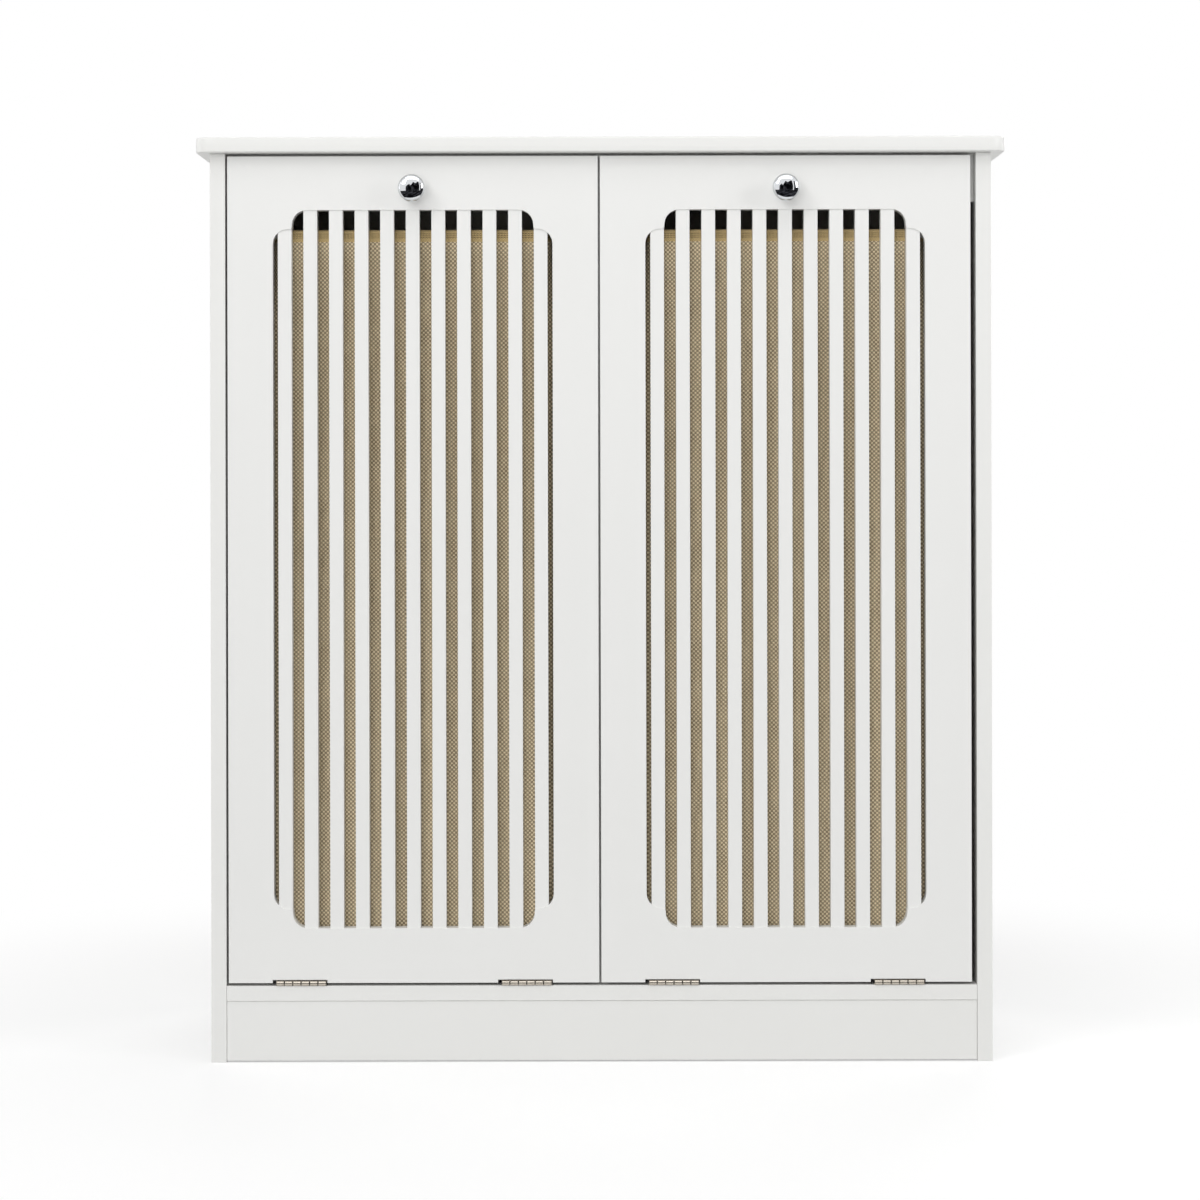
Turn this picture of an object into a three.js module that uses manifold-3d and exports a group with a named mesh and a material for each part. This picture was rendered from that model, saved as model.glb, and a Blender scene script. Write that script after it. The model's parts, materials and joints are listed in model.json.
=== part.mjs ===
// A two-bay laundry cabinet with tilting slatted doors, in millimetres: +Z is up and the doors face -Y.
// The origin lies on the floor in the middle of the whole footprint, knobs included.

import * as THREE from "three";
import { mergeVertices } from "three/addons/utils/BufferGeometryUtils.js";
import Module from "manifold-3d";

const wasm = await Module();
wasm.setup();

// Fits and cutting
const seatGap = 0.2; // between two fastened pieces
const runningGap = 0.3; // round every pin, stud, wire and plug
const overrun = 4; // how far a cutter runs past the face that it opens
const roundSides = 12; // of small pins, screws and holes
const arcSteps = 5; // in a quarter turn of an outline

// Cabinet body
const bodyWidth = 776;
const bodyDepth = 338;
const bodyHeight = 903; // to the underside of the top board
const boardThickness = 15;
const backThickness = 3;
const backInset = 2; // from the outer faces of the side panels
const plinthHeight = 61; // floor to the underside of the bottom board
const plinthLift = 1.5; // off the floor
const plinthRecess = 1; // behind the front edges of the side panels
const railHeight = 48;

// Top board
const topThickness = 15;
const topOverhang = 13.5; // past the sides and the front of the body
const topCornerRadius = 15;
const topEdgeRadius = 1.5;
const topEdgeSteps = 3;

// Bottom-board screws, through the side panels
const screwLength = 48;
const screwShankRadius = 3.2;
const screwHeadRadius = 5;
const screwHeadHeight = 3;
const screwEdgeDistance = 50;

// Top-board dowels, in the upper edges of the side panels
const dowelLength = 24;
const dowelRadius = 4;
const dowelRise = 9; // the part of the dowel that stands in the top board
const dowelEdgeDistance = 60;

// Doors
const doorThickness = 15;
const doorGapLeft = 2.3;
const doorGapMiddle = 2.2;
const doorGapRight = 5.5;
const doorGapTop = 3;
const doorGapBottom = 2.9;
const doorGapBehind = 1.5; // to the rails and the divider, with the strike plate in it

// Slatted window of a door, a rectangle with stepped round corners
const windowTopMargin = 53.3;
const windowBottomMargin = 54.3;
const windowStep = 19;
const windowCornerRadius = 14.5;
const windowCuspRadius = 2.5;
const slatCount = 11;
const slatWidth = 13.5;
const slotWidth = 11.94;
const endSlotWidth = 5.05;
const slatRecess = 1.2; // of the slats behind the door's face

// Butt hinges along the bottom of the doors
const hingeLength = 50;
const hingeInset = 72; // door edge to the middle of the hinge
const barrelRadius = 2.35;
const knuckleCount = 6;
const knuckleGap = 0.4;
const hingePinRadius = 1.1;
const hingePinOverhang = 0.5;
const leafThickness = 1.1;
const leafReach = 14; // from the pin's axis to the leaf's rear edge
const leafHoleRadius = 1.6;
const leafSinkRadius = 2.8;
const leafHolePlaceShares = [-0.34, 0, 0.34]; // of the hinge's length, from its middle
const leafHoleReachShare = 0.62; // of the leaf's reach
const notchSideLeft = 3.5; // the door's notch past the left end of the hinge
const notchSideRight = 1;
const notchRelief = 1; // above the barrel, in front of the leaf's plate

// Knobs and their screws
const knobRadius = 13.5;
const knobReach = 25; // from the door's face
const knobDrop = 33; // door top to the knob's axis
const knobSides = 24;
const knobProfileShares = [
  [0.46, 0],
  [0.48, 0.05],
  [0.36, 0.14],
  [0.33, 0.3],
  [0.45, 0.42],
  [0.78, 0.5],
  [0.96, 0.6],
  [1, 0.71],
  [0.95, 0.82],
  [0.8, 0.91],
  [0.55, 0.965],
  [0.28, 0.992],
]; // of the knob's radius and of its reach
const knobScrewRadius = 2;
const knobScrewHeadRadius = 4;
const knobScrewHeadHeight = 2.4;
const knobScrewGrip = 9; // the part of the screw inside the knob

// Magnets in the rails and strike plates on the doors
const magnetRadius = 5;
const magnetLength = 8;
const magnetSideDistance = 22; // from the side panel's inner face
const strikeWidth = 26;
const strikeHeight = 16;
const strikeThickness = 1;

// Slotted stays between the doors and the side panels
const stayRadius = 350; // from the hinge axis to the stud and to the rivet
const stayRivetSetback = 28; // behind the hinge axis, door shut
const stayClosedAngle = 12; // degrees from the rivet to the stud, door shut
const doorTravel = 30; // degrees
const stayPlane = 6; // from the side panel's inner face to the middle of the arm
const stayArmThickness = 1.6;
const stayArmWidth = 12;
const studRadius = 2.4;
const studHeadRadius = 5;
const studHeadThickness = 1.5;
const studPlugRadius = 1.8;
const studPlugLength = 9;
const studFlangeThickness = 2;
const slotSpare = 3; // free slot past the stud at either end
const bracketThickness = 1.5;
const bracketHeight = 40;
const bracketFootWidth = 16;
const bracketEarHeight = 20;
const bracketEarMargin = 8; // of the ear past the rivet's axis

// Bag frames, carriers and bags
const frameSideMargin = 34; // door edge to the frame
const frameDepth = 175.5;
const frameWireRadius = 2.5;
const frameCornerRadius = 25; // of the wire's outer side
const frameSetback = 3; // door back to the wire
const frameDrop = 78; // door top to the wire's axis
const wireChamferShare = 0.586; // of the wire's radius, for a section of eight equal sides
const carrierWall = 1.2;
const carrierLip = 2; // of the carrier above the wire's axis
const carrierFootWidth = 18;
const carrierFootHeight = 34;
const bagWall = 2;
const bagRimRise = 6; // above the wire's axis
const bagBottomRise = 16; // above the door's bottom edge

const whiteBoard = { color: 0xe9e9e6, roughness: 0.45, metalness: 0 };
const rawHardboard = { color: 0xdedcd5, roughness: 0.8, metalness: 0 };
const beechWood = { color: 0xc9a877, roughness: 0.7, metalness: 0 };
const zincSteel = { color: 0xb9b8b2, roughness: 0.35, metalness: 1 };
const nickelSteel = { color: 0xcfc4b4, roughness: 0.3, metalness: 1 };
const chrome = { color: 0xd8dadd, roughness: 0.05, metalness: 1 };
const magnetSteel = { color: 0x8b8b8d, roughness: 0.4, metalness: 1 };
const paintedSteel = { color: 0xe4e4e2, roughness: 0.4, metalness: 0.2 };
const wovenFabric = { color: 0x9a8e6f, roughness: 0.95, metalness: 0 };

// Places that follow from the sizes above
const rearY = (bodyDepth + knobReach) / 2;
const frontY = rearY - bodyDepth;
const panelRearY = rearY - backThickness - seatGap;
const innerHalfWidth = bodyWidth / 2 - boardThickness;
const panelTopZ = bodyHeight - seatGap;
const bottomBoardTopZ = plinthHeight + boardThickness;
const hingeZ = bottomBoardTopZ + seatGap + barrelRadius;
const doorGaps = doorGapLeft + doorGapMiddle + doorGapRight;
const doorWidth = (2 * innerHalfWidth - doorGaps) / 2;
const doorBottom = bottomBoardTopZ + doorGapBottom - hingeZ; // above the hinge axis, as doorTop
const doorTop = bodyHeight - doorGapTop - hingeZ;
const doorBackY = doorThickness + doorGapBehind; // behind the door's face, where the rails start
const railBottomZ = bodyHeight - railHeight;
const magnetZ = railBottomZ + railHeight / 2;
const doorCentreX = {
  left: -innerHalfWidth + doorGapLeft + doorWidth / 2,
  right: innerHalfWidth - doorGapRight - doorWidth / 2,
};
const outward = { left: -1, right: 1 };

// A box between two opposite corners.
function box(cornerA, cornerB) {
  const size = cornerA.map((value, axis) => Math.abs(cornerB[axis] - value));
  const middle = cornerA.map((value, axis) => (cornerB[axis] + value) / 2);
  return new THREE.BoxGeometry(...size).translate(...middle);
}

// Turns a geometry made along +Y from the origin so that it runs from start towards end.
function aim(geometry, start, end) {
  const run = new THREE.Vector3(...end).sub(new THREE.Vector3(...start)).normalize();
  const turn = new THREE.Quaternion().setFromUnitVectors(new THREE.Vector3(0, 1, 0), run);
  return geometry.applyQuaternion(turn).translate(...start);
}

// A round bar between two points, or a cone where the end has its own radius.
function rod(start, end, radius, endRadius = radius) {
  const length = new THREE.Vector3(...end).distanceTo(new THREE.Vector3(...start));
  const bar = new THREE.CylinderGeometry(endRadius, radius, length, roundSides);
  return aim(bar.translate(0, length / 2, 0), start, end);
}

// A turned piece: steps of [radius, place along the axis] from start towards end.
function turned(steps, start, end, sides = roundSides) {
  const first = steps[0];
  const last = steps[steps.length - 1];
  const profile = [[0, first[1]], ...steps, [0, last[1]]];
  const points = profile.map(([radius, place]) => new THREE.Vector2(radius, place));
  return aim(new THREE.LatheGeometry(points, sides), start, end);
}

// The points of an arc about a centre, from one angle in degrees to another.
function arc(centreX, centreY, radius, fromAngle, toAngle) {
  return Array.from({ length: arcSteps + 1 }, (_, step) => {
    const angle = THREE.MathUtils.degToRad(fromAngle + ((toAngle - fromAngle) * step) / arcSteps);
    return new THREE.Vector2(centreX + radius * Math.cos(angle), centreY + radius * Math.sin(angle));
  });
}

// A whole outline from the points of its upper right quarter, listed from the right side to the top.
function mirroredOutline(quarter) {
  const flip = (points, signX, signY) => points.map((p) => new THREE.Vector2(signX * p.x, signY * p.y));
  const back = [...quarter].reverse();
  return [...quarter, ...flip(back, -1, 1), ...flip(quarter, -1, -1), ...flip(back, 1, -1)];
}

// A rectangle with round corners about the origin.
function roundedRectangle(width, height, radius) {
  return mirroredOutline(arc(width / 2 - radius, height / 2 - radius, radius, 0, 90));
}

// An upright slab of an outline in x and z, between two depths.
function slab(outline, front, rear) {
  const depth = rear - front;
  const made = new THREE.ExtrudeGeometry(new THREE.Shape(outline), { depth, bevelEnabled: false });
  return made.rotateX(Math.PI / 2).translate(0, rear, 0);
}

// A closed solid from a geometry, for cutting and joining.
function solidOf(geometry) {
  const bare = geometry.clone();
  bare.deleteAttribute("normal");
  bare.deleteAttribute("uv");
  const merged = mergeVertices(bare);
  const vertProperties = merged.attributes.position.array;
  const triVerts = new Uint32Array(merged.index.array);
  return new wasm.Manifold(new wasm.Mesh({ numProp: 3, vertProperties, triVerts }));
}

function geometryOf(solid) {
  const mesh = solid.getMesh();
  const geometry = new THREE.BufferGeometry();
  geometry.setAttribute("position", new THREE.BufferAttribute(mesh.vertProperties, 3));
  geometry.setIndex(new THREE.BufferAttribute(mesh.triVerts, 1));
  const flat = geometry.toNonIndexed();
  flat.computeVertexNormals();
  return flat;
}

function cut(geometry, cutters) {
  return geometryOf(cutters.reduce((rest, cutter) => rest.subtract(solidOf(cutter)), solidOf(geometry)));
}

function join(geometries) {
  const [first, ...others] = geometries.map(solidOf);
  return geometryOf(others.reduce((whole, other) => whole.add(other), first));
}

// Adds a named piece to a group.
function addPiece(group, name, geometry, look) {
  const mesh = new THREE.Mesh(geometry, new THREE.MeshStandardMaterial(look));
  mesh.name = name;
  group.add(mesh);
}

// Where the bottom-board screws and the top-board dowels stand, front to back.
const screwPlacesY = [frontY + screwEdgeDistance, panelRearY - screwEdgeDistance];
const dowelPlacesY = [frontY + dowelEdgeDistance, panelRearY - dowelEdgeDistance];
const screwZ = plinthHeight + boardThickness / 2;
const dowelX = innerHalfWidth + boardThickness / 2;
const dowelBottomZ = bodyHeight + dowelRise - dowelLength;

// A stay's rivet on the door and stud on the side panel, both measured from the hinge axis.
const rivetAngle = Math.asin(stayRivetSetback / stayRadius);
const studAngle = rivetAngle + THREE.MathUtils.degToRad(stayClosedAngle);
const rivetPoint = { y: stayRivetSetback, z: stayRadius * Math.cos(rivetAngle) };
const studPoint = { y: stayRadius * Math.sin(studAngle), z: stayRadius * Math.cos(studAngle) };
const stayStart = studDistance(0);
const stayEnd = studDistance(doorTravel);

// From the rivet to the stud, at an opening of the door in degrees.
function studDistance(opening) {
  const spread = THREE.MathUtils.degToRad(stayClosedAngle + opening);
  return 2 * stayRadius * Math.sin(spread / 2);
}

// The bore of a bottom-board screw through one side panel and into the board.
function screwBore(side, y) {
  const sign = outward[side];
  const faceX = sign * (bodyWidth / 2);
  const headEndX = faceX - sign * (screwHeadHeight + seatGap);
  const boreEndX = faceX - sign * (screwLength + seatGap);
  return [
    rod([faceX + sign * overrun, y, screwZ], [headEndX, y, screwZ], screwHeadRadius + runningGap),
    rod([faceX, y, screwZ], [boreEndX, y, screwZ], screwShankRadius + runningGap),
  ];
}

function makeSidePanel(side) {
  const sign = outward[side];
  const outerX = sign * (bodyWidth / 2);
  const innerX = sign * innerHalfWidth;
  const board = box([outerX, frontY, 0], [innerX, panelRearY, panelTopZ]);
  const dowelBores = dowelPlacesY.map((y) => {
    const bottom = [sign * dowelX, y, dowelBottomZ - runningGap];
    const mouth = [sign * dowelX, y, bodyHeight + overrun];
    return rod(bottom, mouth, dowelRadius + runningGap);
  });
  const studY = frontY + studPoint.y;
  const studZ = hingeZ + studPoint.z;
  const plugEndX = innerX + sign * (studPlugLength + runningGap);
  const plugBore = rod(
    [innerX - sign * overrun, studY, studZ],
    [plugEndX, studY, studZ],
    studPlugRadius + runningGap,
  );
  const screwBores = screwPlacesY.flatMap((y) => screwBore(side, y));
  return cut(board, [...dowelBores, ...screwBores, plugBore]);
}

function makeTopBoard() {
  const tail = topCornerRadius + topEdgeRadius; // cut off again, with the rear corners
  const width = bodyWidth + 2 * topOverhang - 2 * topEdgeRadius;
  const depth = bodyDepth + topOverhang + tail - 2 * topEdgeRadius;
  const outline = roundedRectangle(width, depth, topCornerRadius - topEdgeRadius);
  const board = new THREE.ExtrudeGeometry(new THREE.Shape(outline), {
    depth: topThickness - 2 * topEdgeRadius,
    bevelThickness: topEdgeRadius,
    bevelSize: topEdgeRadius,
    bevelSegments: topEdgeSteps,
  });
  board.translate(0, frontY - topOverhang + topEdgeRadius + depth / 2, bodyHeight + topEdgeRadius);
  const wasteX = bodyWidth / 2 + topOverhang + overrun;
  const waste = box(
    [-wasteX, rearY, bodyHeight - overrun],
    [wasteX, rearY + tail + overrun, bodyHeight + topThickness + overrun],
  );
  const boreTop = bodyHeight + dowelRise + runningGap;
  const dowelBores = [-dowelX, dowelX].flatMap((x) =>
    dowelPlacesY.map((y) => rod([x, y, bodyHeight - overrun], [x, y, boreTop], dowelRadius + runningGap)),
  );
  return cut(board, [waste, ...dowelBores]);
}

function makeBottomBoard() {
  const halfWidth = innerHalfWidth - seatGap;
  const board = box([-halfWidth, frontY, plinthHeight], [halfWidth, panelRearY, bottomBoardTopZ]);
  const bores = ["left", "right"].flatMap((side) => screwPlacesY.map((y) => screwBore(side, y)[1]));
  return cut(board, bores);
}

function makePlinth(frontFaceY) {
  const halfWidth = innerHalfWidth - seatGap;
  const rearFaceY = frontFaceY + boardThickness;
  return box([-halfWidth, frontFaceY, plinthLift], [halfWidth, rearFaceY, plinthHeight - seatGap]);
}

function makeDivider() {
  const halfThickness = boardThickness / 2;
  return box(
    [-halfThickness, frontY + doorBackY, bottomBoardTopZ + seatGap],
    [halfThickness, panelRearY, panelTopZ],
  );
}

function makeBackPanel() {
  const halfWidth = bodyWidth / 2 - backInset;
  return box([-halfWidth, rearY - backThickness, plinthHeight + backInset], [halfWidth, rearY, panelTopZ]);
}

function makeBottomScrew(side, y) {
  const sign = outward[side];
  const headX = sign * (bodyWidth / 2 - seatGap);
  const steps = [
    [screwHeadRadius, 0],
    [screwHeadRadius, screwHeadHeight - seatGap],
    [screwShankRadius, screwHeadHeight - seatGap],
    [screwShankRadius, screwLength - runningGap],
  ];
  return turned(steps, [headX, y, screwZ], [0, y, screwZ]);
}

function makeDowel(side, y) {
  const x = outward[side] * dowelX;
  return rod([x, y, dowelBottomZ], [x, y, dowelBottomZ + dowelLength], dowelRadius);
}

// The magnet's place in a front rail, seen from above.
function magnetX(side) {
  return outward[side] * (innerHalfWidth - magnetSideDistance);
}

function makeFrontRail(side) {
  const sign = outward[side];
  const railFrontY = frontY + doorBackY;
  const board = box(
    [sign * (boardThickness / 2 + seatGap), railFrontY, railBottomZ],
    [sign * (innerHalfWidth - seatGap), railFrontY + boardThickness, panelTopZ],
  );
  const x = magnetX(side);
  const boreEndY = railFrontY + magnetLength + runningGap;
  const bore = rod([x, railFrontY - overrun, magnetZ], [x, boreEndY, magnetZ], magnetRadius + runningGap);
  return cut(board, [bore]);
}

function makeMagnet(side) {
  const x = magnetX(side);
  const faceY = frontY + doorBackY;
  return rod([x, faceY, magnetZ], [x, faceY + magnetLength, magnetZ], magnetRadius);
}

// The stud that a stay slides along: a plug in the side panel, a flange, a shaft and a head.
function makeStayStud(side) {
  const armInnerFace = stayPlane + stayArmThickness / 2 + runningGap;
  const plugEnd = studPlugLength + studFlangeThickness + seatGap;
  const steps = [
    [studHeadRadius, 0],
    [studHeadRadius, studHeadThickness],
    [studRadius, studHeadThickness],
    [studRadius, studHeadThickness + armInnerFace - studFlangeThickness - seatGap],
    [studHeadRadius, studHeadThickness + armInnerFace - studFlangeThickness - seatGap],
    [studHeadRadius, studHeadThickness + armInnerFace - seatGap],
    [studPlugRadius, studHeadThickness + armInnerFace - seatGap],
    [studPlugRadius, studHeadThickness + armInnerFace - studFlangeThickness + plugEnd - seatGap],
  ];
  const sign = outward[side];
  const headX = sign * (innerHalfWidth - armInnerFace - studHeadThickness);
  const y = frontY + studPoint.y;
  const z = hingeZ + studPoint.z;
  return turned(steps, [headX, y, z], [headX + sign * bodyWidth, y, z]);
}

// Middles of the two hinges of a door, from the door's own middle.
const hingePlacesX = [-doorWidth / 2 + hingeInset, doorWidth / 2 - hingeInset];

// The stretch of the hinge pin that one knuckle takes, from the hinge's middle.
function knuckleEnds(index) {
  const pitch = hingeLength / knuckleCount;
  const start = -hingeLength / 2 + index * pitch;
  return [start + knuckleGap / 2, start + pitch - knuckleGap / 2];
}

// A hinge leaf about its pin's axis: below it for the cabinet (level -1), above it for the door (+1).
function makeHingeLeaf(level) {
  const own = (index) => (index % 2 === 0) === (level < 0);
  const knuckles = Array.from({ length: knuckleCount }, (_, index) => index).filter(own);
  const outerZ = level * barrelRadius;
  const innerZ = level * (barrelRadius - leafThickness);
  const plateStartY = barrelRadius + runningGap;
  const plate = box([-hingeLength / 2, plateStartY, outerZ], [hingeLength / 2, leafReach, innerZ]);
  const rings = knuckles.flatMap((index) => {
    const [start, end] = knuckleEnds(index);
    const tongueEndY = plateStartY + leafThickness;
    return [
      rod([start, 0, 0], [end, 0, 0], barrelRadius / Math.cos(Math.PI / roundSides)),
      box([start, 0, outerZ], [end, tongueEndY, innerZ]),
    ];
  });
  const boreX = hingeLength / 2 + overrun;
  const bore = rod([-boreX, 0, 0], [boreX, 0, 0], hingePinRadius + runningGap);
  const holes = leafHolePlaceShares.flatMap((share) => {
    const x = share * hingeLength;
    const y = leafHoleReachShare * leafReach;
    return [
      rod([x, y, outerZ + level * overrun], [x, y, innerZ - level * overrun], leafHoleRadius),
      rod([x, y, outerZ], [x, y, innerZ - level * runningGap], leafHoleRadius, leafSinkRadius),
    ];
  });
  return cut(join([plate, ...rings]), [bore, ...holes]);
}

function makeHingePin() {
  const endX = hingeLength / 2 + hingePinOverhang;
  return rod([-endX, 0, 0], [endX, 0, 0], hingePinRadius);
}

// The window's outline about its own middle.
function windowOutline() {
  const slots = (slatCount - 1) * slotWidth + 2 * endSlotWidth;
  const outerX = (slatCount * slatWidth + slots) / 2;
  const innerZ = (doorTop - doorBottom - windowTopMargin - windowBottomMargin) / 2;
  const innerX = outerX - windowStep;
  const outerZ = innerZ - windowStep;
  const radius = windowCornerRadius;
  const cusp = windowCuspRadius;
  return mirroredOutline([
    ...arc(outerX - radius, outerZ - radius, radius, 0, 90),
    ...arc(innerX + cusp, outerZ + cusp, cusp, 270, 180),
    ...arc(innerX - radius, innerZ - radius, radius, 0, 90),
  ]);
}

// A door board about its hinge axis: x from its middle, y from its face and z from the pin.
function makeDoorPanel() {
  const halfWidth = doorWidth / 2;
  const board = box([-halfWidth, 0, doorBottom], [halfWidth, doorThickness, doorTop]);
  const middleZ = (doorTop - windowTopMargin + doorBottom + windowBottomMargin) / 2;
  const through = slab(windowOutline(), -overrun, doorThickness + overrun).translate(0, 0, middleZ);
  const pitch = slatWidth + slotWidth;
  const slats = Array.from({ length: slatCount }, (_, index) => {
    const x = (index - (slatCount - 1) / 2) * pitch;
    return box(
      [x - slatWidth / 2, slatRecess, doorBottom],
      [x + slatWidth / 2, doorThickness + 2 * overrun, doorTop],
    );
  });
  const notches = hingePlacesX.flatMap((x) => {
    const left = x - hingeLength / 2 - notchSideLeft;
    const right = x + hingeLength / 2 + notchSideRight;
    const leafTop = barrelRadius + seatGap;
    const startZ = doorBottom - overrun;
    return [
      box([left, -overrun, startZ], [right, doorThickness + overrun, leafTop]),
      box([left, -overrun, startZ], [right, barrelRadius + leafThickness, leafTop + notchRelief]),
    ];
  });
  const knobZ = doorTop - knobDrop;
  const headStartY = doorThickness - knobScrewHeadHeight - seatGap;
  const knobBores = [
    rod([0, -overrun, knobZ], [0, doorThickness + overrun, knobZ], knobScrewRadius + runningGap),
    rod([0, headStartY, knobZ], [0, doorThickness + overrun, knobZ], knobScrewHeadRadius + runningGap),
  ];
  return cut(board, [cut(through, slats), ...notches, ...knobBores]);
}

function makeKnob() {
  const length = knobReach - seatGap;
  const outside = knobProfileShares.map(([wide, far]) => [wide * knobRadius, far * length]);
  const knobZ = doorTop - knobDrop;
  const start = [0, -seatGap, knobZ];
  const body = turned([...outside, [0, length]], start, [0, -knobReach, knobZ], knobSides);
  const boreEndY = -knobScrewGrip - runningGap;
  return cut(body, [rod([0, overrun, knobZ], [0, boreEndY, knobZ], knobScrewRadius + runningGap)]);
}

function makeKnobScrew() {
  const steps = [
    [knobScrewHeadRadius, 0],
    [knobScrewHeadRadius, knobScrewHeadHeight],
    [knobScrewRadius, knobScrewHeadHeight],
    [knobScrewRadius, doorThickness + knobScrewGrip],
  ];
  const knobZ = doorTop - knobDrop;
  return turned(steps, [0, doorThickness, knobZ], [0, -knobReach, knobZ]);
}

function makeStrikePlate(side) {
  const x = magnetX(side) - doorCentreX[side];
  const z = magnetZ - hingeZ;
  const backY = doorThickness + seatGap + strikeThickness;
  return box(
    [x - strikeWidth / 2, doorThickness + seatGap, z - strikeHeight / 2],
    [x + strikeWidth / 2, backY, z + strikeHeight / 2],
  );
}

// Places of a stay along x, from the door's middle and counted outwards from it.
function stayX(side, fromArm) {
  return outward[side] * (innerHalfWidth - stayPlane + fromArm) - doorCentreX[side];
}

function makeStayBracket(side) {
  const earOuter = -stayArmThickness / 2 - runningGap;
  const earInner = earOuter - bracketThickness;
  const backY = doorThickness + seatGap;
  const ear = box(
    [stayX(side, earOuter), backY, rivetPoint.z - bracketEarHeight / 2],
    [stayX(side, earInner), rivetPoint.y + bracketEarMargin, rivetPoint.z + bracketEarHeight / 2],
  );
  const foot = box(
    [stayX(side, earOuter), backY, rivetPoint.z - bracketHeight / 2],
    [stayX(side, earOuter - bracketFootWidth), backY + bracketThickness, rivetPoint.z + bracketHeight / 2],
  );
  const bore = rod(
    [stayX(side, earOuter + overrun), rivetPoint.y, rivetPoint.z],
    [stayX(side, earInner - overrun), rivetPoint.y, rivetPoint.z],
    studRadius + runningGap,
  );
  return cut(join([ear, foot]), [bore]);
}

// The rivet that holds a stay arm against its bracket, headed at both ends.
function makeStayRivet(side) {
  const grip = bracketThickness + stayArmThickness + 3 * runningGap;
  const headInner = -stayArmThickness / 2 - 2 * runningGap - bracketThickness - studHeadThickness;
  const steps = [
    [studHeadRadius, 0],
    [studHeadRadius, studHeadThickness],
    [studRadius, studHeadThickness],
    [studRadius, studHeadThickness + grip],
    [studHeadRadius, studHeadThickness + grip],
    [studHeadRadius, 2 * studHeadThickness + grip],
  ];
  const start = [stayX(side, headInner), rivetPoint.y, rivetPoint.z];
  return turned(steps, start, [start[0] + outward[side] * doorWidth, rivetPoint.y, rivetPoint.z]);
}

// A slotted arm about its rivet, lying along +Y, with the slot over the stud's whole travel.
function makeStayArm() {
  const halfWidth = stayArmWidth / 2;
  const slotRadius = studRadius + runningGap;
  const slotStart = stayStart - slotSpare;
  const slotEnd = stayEnd + slotSpare;
  const armEnd = slotEnd + halfWidth;
  const ends = [...arc(0, 0, halfWidth, 90, 270), ...arc(armEnd, 0, halfWidth, -90, 90)];
  const outline = new THREE.Shape(ends);
  const hole = new THREE.Path().absarc(0, 0, slotRadius, 0, 2 * Math.PI, true);
  const slot = new THREE.Path([
    ...arc(slotEnd, 0, slotRadius, 90, -90),
    ...arc(slotStart, 0, slotRadius, -90, -270),
  ]);
  outline.holes.push(new THREE.Path(hole.getPoints(roundSides / 2).slice(0, -1)), slot);
  const arm = new THREE.ExtrudeGeometry(outline, { depth: stayArmThickness, bevelEnabled: false });
  return arm.translate(0, 0, -stayArmThickness / 2).rotateY(-Math.PI / 2).rotateX(-Math.PI / 2);
}

// Places of the bag frame about the hinge axis.
const frameWidth = doorWidth - 2 * frameSideMargin;
const frameZ = doorTop - frameDrop;
const frameFrontY = doorThickness + frameSetback;
const frameRearY = frameFrontY + frameDepth;

function makeBagFrame() {
  const chamfer = frameWireRadius * wireChamferShare;
  const middleY = (frameFrontY + frameRearY) / 2;
  const wide = 2 * frameWireRadius - chamfer;
  const outline = roundedRectangle(
    frameWidth - 2 * chamfer,
    frameDepth - 2 * chamfer,
    frameCornerRadius - chamfer,
  );
  const opening = roundedRectangle(frameWidth - 2 * wide, frameDepth - 2 * wide, frameCornerRadius - wide);
  const ring = new THREE.Shape(outline);
  ring.holes.push(new THREE.Path(opening));
  const depth = 2 * (frameWireRadius - chamfer);
  const wire = new THREE.ExtrudeGeometry(ring, {
    depth,
    bevelThickness: chamfer,
    bevelSize: chamfer,
    bevelSegments: 1,
  });
  return wire.translate(0, middleY, frameZ - depth / 2);
}

// A steel angle on the door's back that one side of the bag frame lies in.
function makeBagCarrier(sign) {
  const outerX = frameWidth / 2;
  const ledgeX = outerX - 2 * frameWireRadius + seatGap;
  const wallX = outerX + runningGap;
  const ledgeTopZ = frameZ - frameWireRadius - runningGap;
  const ledgeZ = ledgeTopZ - carrierWall;
  const lipZ = frameZ + carrierLip;
  const backY = doorThickness + seatGap;
  const lipY = frameRearY + runningGap;
  const endY = lipY + carrierWall;
  const footZ = [ledgeZ - carrierFootHeight, lipZ];
  return join([
    box([sign * ledgeX, backY, ledgeZ], [sign * (wallX + carrierWall), endY, ledgeTopZ]),
    box([sign * wallX, backY, ledgeZ], [sign * (wallX + carrierWall), endY, lipZ]),
    box([sign * ledgeX, lipY, ledgeZ], [sign * (wallX + carrierWall), endY, lipZ]),
    box([sign * wallX, backY, footZ[0]], [sign * (wallX + carrierFootWidth), backY + carrierWall, footZ[1]]),
  ]);
}

// A bag as a plain open shell that hangs inside its frame.
function makeBag() {
  const inset = 2 * frameWireRadius + runningGap;
  const middleY = (frameFrontY + frameRearY) / 2;
  const bottomZ = doorBottom + bagBottomRise;
  const rimZ = frameZ + bagRimRise;
  const prism = (shrink, fromZ, toZ) => {
    const outline = roundedRectangle(
      frameWidth - 2 * shrink,
      frameDepth - 2 * shrink,
      frameCornerRadius - shrink,
    );
    const options = { depth: toZ - fromZ, bevelEnabled: false };
    return new THREE.ExtrudeGeometry(new THREE.Shape(outline), options).translate(0, middleY, fromZ);
  };
  return cut(prism(inset, bottomZ, rimZ), [prism(inset + bagWall, bottomZ + bagWall, rimZ + overrun)]);
}

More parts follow.
